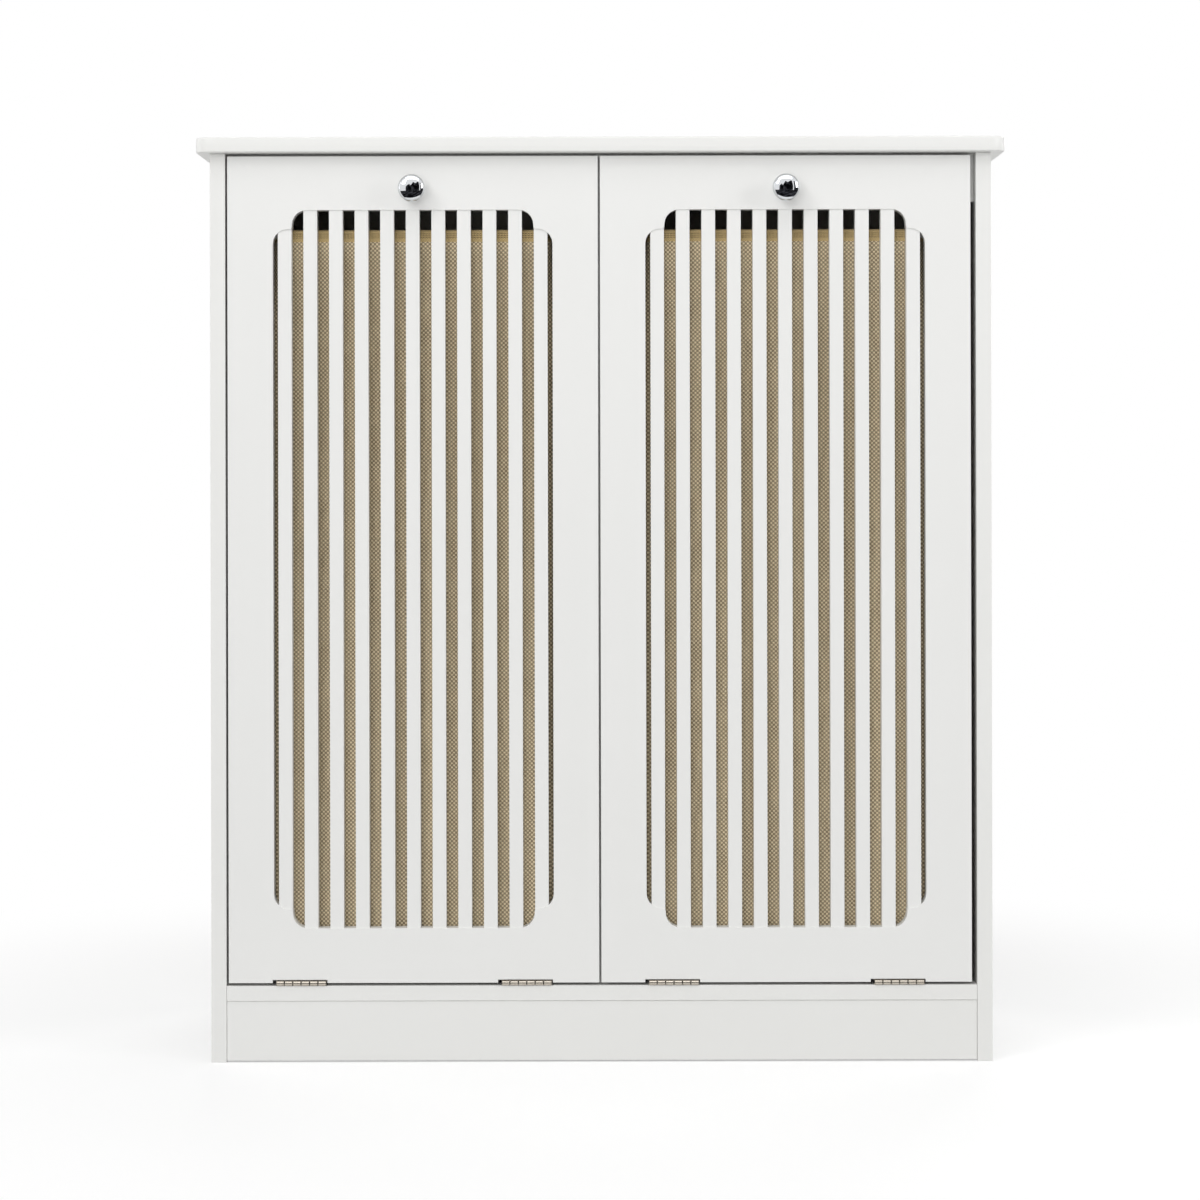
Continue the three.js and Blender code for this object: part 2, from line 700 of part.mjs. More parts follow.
// The stay arm swings in its own group, from the line between rivet and stud.
function buildStay(side) {
  const stay = new THREE.Group();
  stay.position.set(stayX(side, 0), rivetPoint.y, rivetPoint.z);
  stay.rotation.x = Math.atan2(studPoint.z - rivetPoint.z, studPoint.y - rivetPoint.y);
  addPiece(stay, `${side}_stay_arm`, makeStayArm(), zincSteel);
  return stay;
}

function buildBag(side) {
  const bag = new THREE.Group();
  addPiece(bag, `${side}_bag_frame`, makeBagFrame(), paintedSteel);
  addPiece(bag, `${side}_laundry_bag`, makeBag(), wovenFabric);
  return bag;
}

function buildDoor(side) {
  const door = new THREE.Group();
  door.position.set(doorCentreX[side], frontY, hingeZ);
  addPiece(door, `${side}_door_panel`, makeDoorPanel(), whiteBoard);
  addPiece(door, `${side}_knob`, makeKnob(), chrome);
  addPiece(door, `${side}_knob_screw`, makeKnobScrew(), zincSteel);
  addPiece(door, `${side}_strike_plate`, makeStrikePlate(side), zincSteel);
  addPiece(door, `${side}_stay_bracket`, makeStayBracket(side), zincSteel);
  addPiece(door, `${side}_stay_rivet`, makeStayRivet(side), zincSteel);
  addPiece(door, `${side}_bag_carrier_1`, makeBagCarrier(-1), paintedSteel);
  addPiece(door, `${side}_bag_carrier_2`, makeBagCarrier(1), paintedSteel);
  hingePlacesX.forEach((x, index) => {
    const leaf = makeHingeLeaf(1).translate(x, 0, 0);
    addPiece(door, `${side}_door_hinge_leaf_${index + 1}`, leaf, nickelSteel);
  });
  door.add(buildBag(side), buildStay(side));
  return door;
}

// The cabinet's half of a door's hinges, with their pins.
function buildFixedHinges(side) {
  const hinges = new THREE.Group();
  hinges.position.set(doorCentreX[side], frontY, hingeZ);
  hingePlacesX.forEach((x, index) => {
    const leaf = makeHingeLeaf(-1).translate(x, 0, 0);
    addPiece(hinges, `${side}_base_hinge_leaf_${index + 1}`, leaf, nickelSteel);
    addPiece(hinges, `${side}_hinge_pin_${index + 1}`, makeHingePin().translate(x, 0, 0), nickelSteel);
  });
  return hinges;
}

function buildBody() {
  const body = new THREE.Group();
  addPiece(body, "top_board", makeTopBoard(), whiteBoard);
  addPiece(body, "bottom_board", makeBottomBoard(), whiteBoard);
  addPiece(body, "centre_divider", makeDivider(), whiteBoard);
  addPiece(body, "front_plinth", makePlinth(frontY + plinthRecess), whiteBoard);
  addPiece(body, "rear_plinth", makePlinth(panelRearY - boardThickness), whiteBoard);
  addPiece(body, "back_panel", makeBackPanel(), rawHardboard);
  ["left", "right"].forEach((side) => {
    addPiece(body, `${side}_side_panel`, makeSidePanel(side), whiteBoard);
    addPiece(body, `${side}_front_rail`, makeFrontRail(side), whiteBoard);
    addPiece(body, `${side}_door_magnet`, makeMagnet(side), magnetSteel);
    addPiece(body, `${side}_stay_stud`, makeStayStud(side), zincSteel);
    screwPlacesY.forEach((y, index) => {
      addPiece(body, `${side}_bottom_screw_${index + 1}`, makeBottomScrew(side, y), zincSteel);
    });
    dowelPlacesY.forEach((y, index) => {
      addPiece(body, `${side}_top_dowel_${index + 1}`, makeDowel(side, y), beechWood);
    });
  });
  return body;
}

const cabinet = new THREE.Group();
cabinet.add(buildBody());
["left", "right"].forEach((side) => cabinet.add(buildFixedHinges(side), buildDoor(side)));

export default cabinet;
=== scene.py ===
import json
import math

import bpy
from mathutils import Matrix, Vector
from mathutils.geometry import tessellate_polygon


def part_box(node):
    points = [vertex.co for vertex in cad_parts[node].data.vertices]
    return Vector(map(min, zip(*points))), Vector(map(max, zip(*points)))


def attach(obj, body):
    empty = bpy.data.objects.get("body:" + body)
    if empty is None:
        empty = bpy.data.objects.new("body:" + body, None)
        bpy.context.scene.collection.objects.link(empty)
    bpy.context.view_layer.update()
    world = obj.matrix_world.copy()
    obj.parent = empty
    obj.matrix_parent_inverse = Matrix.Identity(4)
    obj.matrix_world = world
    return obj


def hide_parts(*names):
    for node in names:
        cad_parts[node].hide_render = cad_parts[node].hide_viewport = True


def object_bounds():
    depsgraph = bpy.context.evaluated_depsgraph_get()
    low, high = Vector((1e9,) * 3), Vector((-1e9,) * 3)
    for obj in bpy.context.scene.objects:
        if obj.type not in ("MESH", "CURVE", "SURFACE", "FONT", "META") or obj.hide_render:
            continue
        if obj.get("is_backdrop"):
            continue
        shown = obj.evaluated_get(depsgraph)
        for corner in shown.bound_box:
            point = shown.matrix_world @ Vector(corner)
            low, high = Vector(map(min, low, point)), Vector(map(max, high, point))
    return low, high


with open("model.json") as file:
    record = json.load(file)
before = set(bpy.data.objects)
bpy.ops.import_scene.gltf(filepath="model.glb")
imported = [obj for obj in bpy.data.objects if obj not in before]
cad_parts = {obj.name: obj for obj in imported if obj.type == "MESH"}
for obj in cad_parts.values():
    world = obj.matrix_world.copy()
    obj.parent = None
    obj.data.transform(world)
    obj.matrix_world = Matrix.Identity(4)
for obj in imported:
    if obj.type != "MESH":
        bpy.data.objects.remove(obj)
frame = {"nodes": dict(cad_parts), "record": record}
built_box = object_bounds()
nodes = frame["nodes"]

# Camera. The photograph was taken level and from straight ahead, three metres from the doors, and
# is turned by a tenth of a degree. The lens is shifted down, so that upright edges stay upright.
camera_x = -0.0009
camera_y = -3.1565
camera_height = 0.60
camera_roll = 0.12
lens_length = 90.6
sensor_width = 36
picture_middle = 0.4588
front_plane = -0.1565
camera_data = bpy.data.cameras.new("camera")
camera_data.sensor_width = sensor_width
camera_data.lens = lens_length
picture_width = (front_plane - camera_y) * sensor_width / lens_length
camera_data.shift_y = (picture_middle - camera_height) / picture_width
camera = bpy.data.objects.new("camera", camera_data)
camera.location = (camera_x, camera_y, camera_height)
camera.rotation_euler = (math.radians(90), math.radians(camera_roll), 0)
bpy.context.scene.collection.objects.link(camera)
bpy.context.scene.camera = camera

# Carcass boards: sides, floor, divider, plinths and rails, sawn from 15 mm chipboard that is faced
# with white melamine paper. They stand edge to face, and the floor board is screwed to the sides.
board_white = "#EDEDEB"
board_shade = "#E9E9E6"
pearl_grain = 0.0014
cloud_size = 0.25
gloss_spread = 0.05
weld_distance = 0.00001
flat_angle = 1
edge_angle = 50
edge_round = 0.0005


def linear(hex_colour):
    channels = [int(hex_colour[i : i + 2], 16) / 255 for i in (1, 3, 5)]
    return [c / 12.92 if c <= 0.04045 else ((c + 0.055) / 1.055) ** 2.4 for c in channels] + [1]


def add(material, kind, settings, inputs):
    node = material.node_tree.nodes.new(kind)
    for name, value in settings.items():
        setattr(node, name, value)
    for name, value in inputs.items():
        if isinstance(value, bpy.types.NodeSocket):
            material.node_tree.links.new(value, node.inputs[name])
        else:
            node.inputs[name].default_value = value
    return node


def new_material(name):
    material = bpy.data.materials.new(name)
    material.use_nodes = True
    material.node_tree.nodes.clear()
    return material


def pearl_board(name, light, dark, roughness):
    material = new_material(name)
    place = add(material, "ShaderNodeTexCoord", {}, {}).outputs["Object"]
    cloud = add(
        material,
        "ShaderNodeTexNoise",
        {},
        {"Vector": place, "Scale": 1 / cloud_size, "Detail": 3},
    )
    grain = add(material, "ShaderNodeTexNoise", {}, {"Vector": place, "Scale": 1 / pearl_grain})
    mix = add(
        material,
        "ShaderNodeMix",
        {"data_type": "RGBA"},
        {0: cloud.outputs[0], 6: linear(light), 7: linear(dark)},
    )
    gloss = add(
        material,
        "ShaderNodeMapRange",
        {},
        {
            "Value": grain.outputs[0],
            "To Min": roughness - gloss_spread,
            "To Max": roughness + gloss_spread,
        },
    )
    bump = add(
        material,
        "ShaderNodeBump",
        {},
        {"Height": grain.outputs[0], "Strength": 0.25, "Distance": 0.0001},
    )
    surface = add(
        material,
        "ShaderNodeBsdfPrincipled",
        {},
        {
            "Base Color": mix.outputs[2],
            "Roughness": gloss.outputs[0],
            "Normal": bump.outputs[0],
            "IOR": 1.5,
        },
    )
    add(material, "ShaderNodeOutputMaterial", {}, {"Surface": surface.outputs[0]})
    return material


def round_edges(piece, width):
    edge = piece.modifiers.new("edge", "BEVEL")
    edge.width = width
    edge.segments = 2
    edge.limit_method = "ANGLE"
    edge.angle_limit = math.radians(edge_angle)


def dress(piece, material):
    for slot in piece.material_slots:
        slot.material = material
    weld = piece.modifiers.new("weld", "WELD")
    weld.merge_threshold = weld_distance
    flat = piece.modifiers.new("flat", "DECIMATE")
    flat.decimate_type = "DISSOLVE"
    flat.angle_limit = math.radians(flat_angle)
    round_edges(piece, edge_round)


# White melamine: resin-soaked paper, pressed on hot between polished plates. It gives the eye a
# clean satin white, whose gloss is broken up by a pearl grain. The grain, under a millimetre
# across, is drawn 1.4 mm across to show.
melamine = pearl_board("white_melamine", board_white, board_shade, 0.42)
carcass = ["left_side_panel", "right_side_panel", "bottom_board", "centre_divider"]
carcass += ["front_plinth", "rear_plinth", "left_front_rail", "right_front_rail"]
for name in carcass:
    dress(nodes[name], melamine)

# Top board: chipboard like the rest, with its front corners rounded and a foil folded round its
# edges. It is laid on the sides and held by dowels, and its rear edge is square.
top_low, top_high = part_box("top_board")
top_corner = 0.015
top_edge = 0.0015
corner_steps = 10
edge_steps = 5


def mesh_piece(name, shape, material, crease=35):
    points, faces = shape
    mesh = bpy.data.meshes.new(name)
    mesh.from_pydata([tuple(point) for point in points], [], faces)
    mesh.polygons.foreach_set("use_smooth", [True] * len(mesh.polygons))
    mesh.set_sharp_from_angle(angle=math.radians(crease))
    mesh.materials.append(material)
    piece = bpy.data.objects.new(name, mesh)
    bpy.context.scene.collection.objects.link(piece)
    return piece


def lofted(rings, closed=True, capped=True):
    count = len(rings[0])
    points = [point for ring in rings for point in ring]
    faces = []
    around = count if closed else count - 1
    for level in range(len(rings) - 1):
        for i in range(around):
            j = (i + 1) % count
            lower = level * count
            upper = lower + count
            faces.append((lower + i, lower + j, upper + j, upper + i))
    if capped:
        faces.append(tuple(reversed(range(count))))
        last = (len(rings) - 1) * count
        faces.append(tuple(last + i for i in range(count)))
    return points, faces


def board_ring(inset, z):
    left = top_low.x + inset
    right = top_high.x - inset
    front = top_low.y + inset
    back = top_high.y - inset
    radius = top_corner - inset
    turn = [math.pi / 2 * i / corner_steps for i in range(corner_steps + 1)]
    ring = [(right, back, z), (left, back, z)]
    for a in turn:
        ring.append((left + radius * (1 - math.cos(a)), front + radius * (1 - math.sin(a)), z))
    for a in reversed(turn):
        ring.append((right - radius * (1 - math.cos(a)), front + radius * (1 - math.sin(a)), z))
    return ring


edge_turn = [math.pi / 2 * i / edge_steps for i in range(edge_steps + 1)]
rise = [(top_edge * (1 - math.sin(a)), top_edge * (1 - math.cos(a))) for a in edge_turn]
rings = [board_ring(inset, top_low.z + up) for inset, up in rise]
rings += [board_ring(inset, top_high.z - up) for inset, up in reversed(rise)]
# White foil: a plastic film glued on and folded round the edges. It gives the eye the melamine's
# white with a little more gloss, which runs over the edges in a soft line.
foil = pearl_board("white_foil", board_white, board_shade, 0.38)
top_board = mesh_piece("top_board_foil", lofted(rings), foil)
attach(top_board, "cabinet")
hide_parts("top_board")

# Back panel: one sheet of thin hardboard, lacquered on its outer face, that lies in the rear of
# the carcass and keeps it square.
hardboard_light = "#D9D6CE"
hardboard_dark = "#C4BFB3"
fibre = 0.003
# Lacquered hardboard: pressed wood fibre under one thin coat. It gives the eye a matt off-white
# in which the tangled fibres show darker.
hardboard = new_material("lacquered_hardboard")
place = add(hardboard, "ShaderNodeTexCoord", {}, {}).outputs["Object"]
fibres = add(
    hardboard,
    "ShaderNodeTexNoise",
    {},
    {"Vector": place, "Scale": 1 / fibre, "Detail": 8, "Distortion": 2},
)
mix = add(
    hardboard,
    "ShaderNodeMix",
    {"data_type": "RGBA"},
    {0: fibres.outputs[0], 6: linear(hardboard_light), 7: linear(hardboard_dark)},
)
bump = add(
    hardboard,
    "ShaderNodeBump",
    {},
    {"Height": fibres.outputs[0], "Strength": 0.4, "Distance": 0.0002},
)
surface = add(
    hardboard,
    "ShaderNodeBsdfPrincipled",
    {},
    {"Base Color": mix.outputs[2], "Roughness": 0.6, "Normal": bump.outputs[0]},
)
add(hardboard, "ShaderNodeOutputMaterial", {}, {"Surface": surface.outputs[0]})
dress(nodes["back_panel"], hardboard)

# Dowels: four turned beech pegs, glued half into the top edges of the sides and half into the
# top board.
beech_light = "#D2B184"
beech_dark = "#B58F5F"
pore_width = 0.0008
pore_stretch = 0.08
# Turned beech: close-grained bare wood. It gives the eye a dull warm tan with fine darker pores
# drawn out along the peg. The pores, a tenth of a millimetre wide, are drawn 0.8 mm to show.
beech = new_material("turned_beech")
place = add(beech, "ShaderNodeTexCoord", {}, {}).outputs["Object"]
along = add(beech, "ShaderNodeMapping", {}, {"Vector": place, "Scale": (1, 1, pore_stretch)})
pores = add(
    beech,
    "ShaderNodeTexNoise",
    {},
    {"Vector": along.outputs[0], "Scale": 1 / pore_width, "Detail": 4},
)
mix = add(
    beech,
    "ShaderNodeMix",
    {"data_type": "RGBA"},
    {0: pores.outputs[0], 6: linear(beech_light), 7: linear(beech_dark)},
)
bump = add(
    beech,
    "ShaderNodeBump",
    {},
    {"Height": pores.outputs[0], "Strength": 0.3, "Distance": 0.0001},
)
surface = add(
    beech,
    "ShaderNodeBsdfPrincipled",
    {},
    {"Base Color": mix.outputs[2], "Roughness": 0.55, "Normal": bump.outputs[0]},
)
add(beech, "ShaderNodeOutputMaterial", {}, {"Surface": surface.outputs[0]})
for side in ("left", "right"):
    for number in (1, 2):
        nodes[f"{side}_top_dowel_{number}"].material_slots[0].material = beech

# Doors: two fibreboard doors, each routed through between eleven upright slats that lie a little
# behind the face. Foil is drawn over the front, the slats and every edge in one piece.
door_white = "#EEEEEC"
door_shade = "#EAEAE8"
# Door foil: plastic film drawn down hot by vacuum. It gives the eye the smoothest of the whites,
# whose gloss runs unbroken round each slat and down into the slots.
door_foil = pearl_board("door_foil", door_white, door_shade, 0.36)
for side in ("left", "right"):
    dress(nodes[f"{side}_door_panel"], door_foil)

# Socket screws: four steel screws that go through the sides into the bottom board. Their zinc-
# plated heads lie sunk flush in the sides, each with a hexagon socket.
socket_across = 0.0022
socket_depth = 0.0022
socket_taper = 0.7
shank_radius = 0.0032
head_depth = 0.003
head_edge = 0.0004
rim_depth = 0.0028
head_sides = 24
axis_radius = 0.00001
crystal = 0.0015
metal_spread = 0.2


def metal(name, light, dark, roughness, speckle, bump_strength):
    material = new_material(name)
    place = add(material, "ShaderNodeTexCoord", {}, {}).outputs["Object"]
    speckles = add(
        material,
        "ShaderNodeTexNoise",
        {},
        {"Vector": place, "Scale": 1 / speckle, "Detail": 3},
    )
    mix = add(
        material,
        "ShaderNodeMix",
        {"data_type": "RGBA"},
        {0: speckles.outputs[0], 6: linear(light), 7: linear(dark)},
    )
    gloss = add(
        material,
        "ShaderNodeMapRange",
        {},
        {
            "Value": speckles.outputs[0],
            "To Min": roughness * (1 - metal_spread),
            "To Max": roughness * (1 + metal_spread),
        },
    )
    bump = add(
        material,
        "ShaderNodeBump",
        {},
        {"Height": speckles.outputs[0], "Strength": bump_strength, "Distance": 0.0001},
    )
    surface = add(
        material,
        "ShaderNodeBsdfPrincipled",
        {},
        {
            "Base Color": mix.outputs[2],
            "Metallic": 1,
            "Roughness": gloss.outputs[0],
            "Normal": bump.outputs[0],
        },
    )
    add(material, "ShaderNodeOutputMaterial", {}, {"Surface": surface.outputs[0]})
    return material


def polygon(sides, radius):
    angles = [2 * math.pi * i / sides for i in range(sides)]
    return [(radius * math.cos(a), radius * math.sin(a)) for a in angles]


def turned(profile, sides=40):
    rings = []
    for radius, z in profile:
        rings.append([(x, y, z) for x, y in polygon(sides, max(radius, axis_radius))])
    return lofted(rings)


def driven_head(radius, socket, depth):
    outer = [Vector((x, y, 0)) for x, y in polygon(head_sides, radius)]
    inner = [Vector((x, y, 0)) for x, y in socket]
    flat = outer + inner
    faces = [tuple(face) for face in tessellate_polygon([outer, inner])]
    start = len(outer)
    count = len(inner)
    floor = [Vector((p.x * socket_taper, p.y * socket_taper, -depth)) for p in inner]
    for i in range(count):
        j = (i + 1) % count
        faces.append((start + i, start + j, start + count + j, start + count + i))
    faces.append(tuple(start + count + i for i in range(count)))
    return flat + floor, faces


def together(*shapes):
    points = []
    faces = []
    for some_points, some_faces in shapes:
        start = len(points)
        points += list(some_points)
        faces += [tuple(start + i for i in face) for face in some_faces]
    return points, faces


def placed(shape, spot, axis):
    turn = Vector((0, 0, 1)).rotation_difference(Vector(axis)).to_matrix().to_4x4()
    matrix = Matrix.Translation(Vector(spot)) @ turn
    return [matrix @ Vector(point) for point in shape[0]], shape[1]


# Zinc-plated steel: cold-formed steel with a thin bright coat of zinc. It gives the eye a soft
# blue-grey mirror, clouded by faint crystals. The crystals, some tenths of a millimetre wide, are
# drawn 1.5 mm wide to show.
zinc = metal("zinc_plated_steel", "#C4C6C8", "#A9ACB0", 0.32, crystal, 0.1)
for side, sign in (("left", -1), ("right", 1)):
    for number in (1, 2):
        low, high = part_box(f"{side}_bottom_screw_{number}")
        head_radius = (high.y - low.y) / 2
        middle = (low + high) / 2
        face = low.x if sign < 0 else high.x
        length = high.x - low.x
        profile = [(shank_radius, -length), (shank_radius, -head_depth), (head_radius, -head_edge)]
        head = driven_head(head_radius, polygon(6, socket_across), socket_depth)
        rim = lofted(
            [[(x, y, z) for x, y in polygon(head_sides, head_radius)] for z in (-rim_depth, 0)],
            capped=False,
        )
        spot = (face, middle.y, middle.z)
        shape = placed(together(turned(profile), head, rim), spot, (sign, 0, 0))
        screw = mesh_piece(f"{side}_socket_screw_{number}", shape, zinc)
        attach(screw, "cabinet")
        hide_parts(f"{side}_bottom_screw_{number}")

# Hinges: two butt hinges a door, pressed from steel and nickel-plated. Each leaf is rolled round
# the pin in three knuckles, its seam left open, and held by three small countersunk screws.
hinge_length = 0.05
barrel = 0.00235
pin_radius = 0.0011
pin_end = 0.0006
pin_chamfer = 0.0004
leaf_thickness = 0.0011
leaf_reach = 0.014
leaf_corner = 0.002
leaf_corner_steps = 5
bend_length = 0.0009
knuckles = 6
knuckle_gap = 0.0012
seam_turn = 285
roll_steps = 28
pressed_edge = 0.00015
rolled_grain = 0.002
leaf_screw = 0.0027
screw_places = (-0.34, 0, 0.34)
screw_reach = 0.0087
screw_crown = 0.86
cross_reach = 0.55
cross_width = 0.13
cross_depth = 0.45
bodies = frame["record"]["behaviour"]["bodies"]


def stand_in(piece, node):
    body = next(name for name, members in bodies.items() if node in members)
    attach(piece, body)
    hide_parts(node)


def cross(reach, width):
    corners = [(reach, width), (width, width), (width, reach)]
    points = []
    for quarter in range(4):
        c = round(math.cos(math.pi / 2 * quarter))
        s = round(math.sin(math.pi / 2 * quarter))
        for x, y in corners:
            points.append((x * c - y * s, x * s + y * c))
    return points


def screw_head(radius, spot, axis, height=0.0004):
    crown = radius * screw_crown
    slots = cross(radius * cross_reach, radius * cross_width)
    head = driven_head(crown, slots, radius * cross_depth)
    foot_ring = [(x, y, -height) for x, y in polygon(head_sides, radius)]
    crown_ring = [(x, y, 0) for x, y in polygon(head_sides, crown)]
    skirt = lofted([foot_ring, crown_ring], capped=False)
    return placed(together(head, skirt), Vector(spot) + Vector(axis) * height, axis)


def leaf_shape(level):
    near = hinge_length / 2 - leaf_corner
    far = leaf_reach - leaf_corner
    turn = [math.pi / 2 * i / leaf_corner_steps for i in range(leaf_corner_steps + 1)]
    corner = [(near + leaf_corner * math.cos(a), far + leaf_corner * math.sin(a)) for a in turn]
    flat = [(-hinge_length / 2, barrel)]
    flat += [(-x, y) for x, y in corner]
    flat += reversed(corner)
    flat += [(hinge_length / 2, barrel)]
    heights = sorted((level * barrel, level * (barrel - leaf_thickness)))
    shapes = [lofted([[(x, y, z) for x, y in flat] for z in reversed(heights)])]
    inner = barrel - leaf_thickness
    turn = [math.radians(90 + seam_turn * i / roll_steps) for i in range(roll_steps + 1)]
    roll = [(barrel + bend_length, barrel)]
    roll += [(barrel * math.cos(a), barrel * math.sin(a)) for a in turn]
    roll += [(inner * math.cos(a), inner * math.sin(a)) for a in reversed(turn)]
    roll += [(barrel + bend_length, inner)]
    pitch = hinge_length / knuckles
    for i in range(knuckles):
        if (i % 2 == 0) == (level < 0):
            start = -hinge_length / 2 + i * pitch + knuckle_gap / 2
            ends = (start, start + pitch - knuckle_gap)
            shapes.append(lofted([[(x, y, level * z) for y, z in roll] for x in ends]))
    return together(*shapes)


# Bright nickel: plated over the pressed steel. It gives the eye a warm, slightly yellow mirror,
# a little blurred by the steel's rolled face, whose grain is drawn 2 mm wide to show.
nickel = metal("bright_nickel", "#C9C2B7", "#AFA699", 0.25, rolled_grain, 0.1)
# Pin steel: its dull dark grey is painted shade, standing for the shade in the seams between the
# knuckles, so that the seams and the pin's end show dark in the bright knuckles.
pin_dark_painted_shade = metal("pin_steel_painted_shade", "#5A5650", "#48443F", 0.4, crystal, 0.05)
for side in ("left", "right"):
    for number in (1, 2):
        low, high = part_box(f"{side}_hinge_pin_{number}")
        middle = (low + high) / 2
        for leaf, level in (("base", -1), ("door", 1)):
            screws = []
            for share in screw_places:
                spot = (share * hinge_length, screw_reach, level * (barrel - leaf_thickness))
                screws.append(screw_head(leaf_screw, spot, (0, 0, -level)))
            points, faces = together(leaf_shape(level), *screws)
            shape = ([Vector(point) + middle for point in points], faces)
            piece = mesh_piece(f"{side}_{leaf}_leaf_{number}", shape, nickel)
            round_edges(piece, pressed_edge)
            stand_in(piece, f"{side}_{leaf}_hinge_leaf_{number}")
        half = (high.x - low.x) / 2
        profile = [(pin_end, -half), (pin_radius, -half + pin_chamfer)]
        profile += [(pin_radius, half - pin_chamfer), (pin_end, half)]
        shape = placed(turned(profile, sides=24), middle, (1, 0, 0))
        piece = mesh_piece(f"{side}_steel_pin_{number}", shape, pin_dark_painted_shade)
        stand_in(piece, f"{side}_hinge_pin_{number}")

# Knobs: round zinc castings with a foot and a narrow neck, polished and chromed. Each is held by
# one machine screw that goes through the door from behind.
knob_shares = [
    (0.46, 0),
    (0.48, 0.05),
    (0.36, 0.14),
    (0.33, 0.3),
    (0.45, 0.42),
    (0.78, 0.5),
    (0.96, 0.6),
    (1, 0.71),
    (0.95, 0.82),
    (0.8, 0.91),
    (0.55, 0.965),
    (0.28, 0.992),
    (0, 1),
]
curve_steps = 6
polish_mark = 0.004
knob_crease = 50
machine_shank = 0.002
machine_head = 0.0024


def eased(points):
    ends = [points[0]] + list(points) + [points[-1]]
    result = []
    for a, b, c, d in zip(ends, ends[1:], ends[2:], ends[3:]):
        for i in range(curve_steps):
            t = i / curve_steps
            spot = []
            for p, q, r, s in zip(a, b, c, d):
                bend = (2 * p - 5 * q + 4 * r - s) * t**2 + (3 * q - p - 3 * r + s) * t**3
                spot.append(0.5 * (2 * q + (r - p) * t + bend))
            result.append(tuple(spot))
    return result + [tuple(points[-1])]


# Polished chrome: a hard bright plate over the buffed casting. It gives the eye a nearly perfect
# cool mirror, in which the white room and the dark card meet in sharp curves.
chrome = metal("polished_chrome", "#DDDFE2", "#D6D8DB", 0.045, polish_mark, 0.0)
for side in ("left", "right"):
    low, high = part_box(f"{side}_knob")
    middle = (low + high) / 2
    radius = (high.x - low.x) / 2
    reach = high.y - low.y
    profile = [(wide * radius, far * reach) for wide, far in eased(knob_shares)]
    spot = (middle.x, high.y, middle.z)
    shape = placed(turned(profile, sides=72), spot, (0, -1, 0))
    knob = mesh_piece(f"{side}_chrome_knob", shape, chrome, crease=knob_crease)
    stand_in(knob, f"{side}_knob")
    low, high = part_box(f"{side}_knob_screw")
    middle = (low + high) / 2
    shank_length = high.y - low.y - machine_head
    shank = turned([(machine_shank, 0), (machine_shank, shank_length)], sides=20)
    shank = placed(shank, (middle.x, low.y, middle.z), (0, 1, 0))
    spot = (middle.x, high.y - machine_head, middle.z)
    head = screw_head((high.x - low.x) / 2, spot, (0, 1, 0), machine_head)
    screw = mesh_piece(f"{side}_machine_screw", together(shank, head), zinc)
    stand_in(screw, f"{side}_knob_screw")

# Door catches: a ferrite magnet in a steel pot is pressed into each rail. A zinc-plated strike
# plate with two screws on the back of the door meets it.
pot_rim = 0.0008
pot_edge = 0.0003
pot_groove = 0.0008
core_step = 0.0002
strike_corner = 0.003
strike_corner_steps = 5
strike_screw = 0.0026
strike_screw_place = 0.008
strike_screw_sunk = 0.0004
# Pot steel: turned low-carbon steel, left bare round the magnet. It gives the eye a dull middle
# grey, darker than the zinc beside it.
pot_steel = metal("steel_pot_magnet", "#8E8E90", "#7A7A7C", 0.4, crystal, 0.2)
for side in ("left", "right"):
    low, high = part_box(f"{side}_door_magnet")
    middle = (low + high) / 2
    radius = (high.x - low.x) / 2
    length = high.y - low.y
    profile = [
        (radius, 0),
        (radius, length - pot_edge),
        (radius - pot_edge, length),
        (radius - pot_rim, length),
        (radius - pot_rim, length - pot_groove),
        (radius - 2 * pot_rim, length - pot_groove),
        (radius - 2 * pot_rim, length - core_step),
    ]
    shape = placed(turned(profile), (middle.x, high.y, middle.z), (0, -1, 0))
    magnet = mesh_piece(f"{side}_pot_magnet", shape, pot_steel)
    stand_in(magnet, f"{side}_door_magnet")
    low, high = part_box(f"{side}_strike_plate")
    middle = (low + high) / 2
    half_width = (high.x - low.x) / 2
    half_height = (high.z - low.z) / 2
    outline = []
    for sign_x, sign_z, first in ((1, 1, 0), (-1, 1, 90), (-1, -1, 180), (1, -1, 270)):
        for i in range(strike_corner_steps + 1):
            a = math.radians(first + 90 * i / strike_corner_steps)
            x = sign_x * (half_width - strike_corner) + strike_corner * math.cos(a)
            z = sign_z * (half_height - strike_corner) + strike_corner * math.sin(a)
            outline.append((middle.x + x, middle.z + z))
    rings = [[(x, y, z) for x, z in outline] for y in (low.y, high.y)]
    screws = []
    for x in (middle.x - strike_screw_place, middle.x + strike_screw_place):
        spot = (x, high.y - strike_screw_sunk, middle.z)
        screws.append(screw_head(strike_screw, spot, (0, 1, 0)))
    plate = mesh_piece(f"{side}_steel_strike", together(lofted(rings), *screws), zinc)
    round_edges(plate, pressed_edge)
    stand_in(plate, f"{side}_strike_plate")

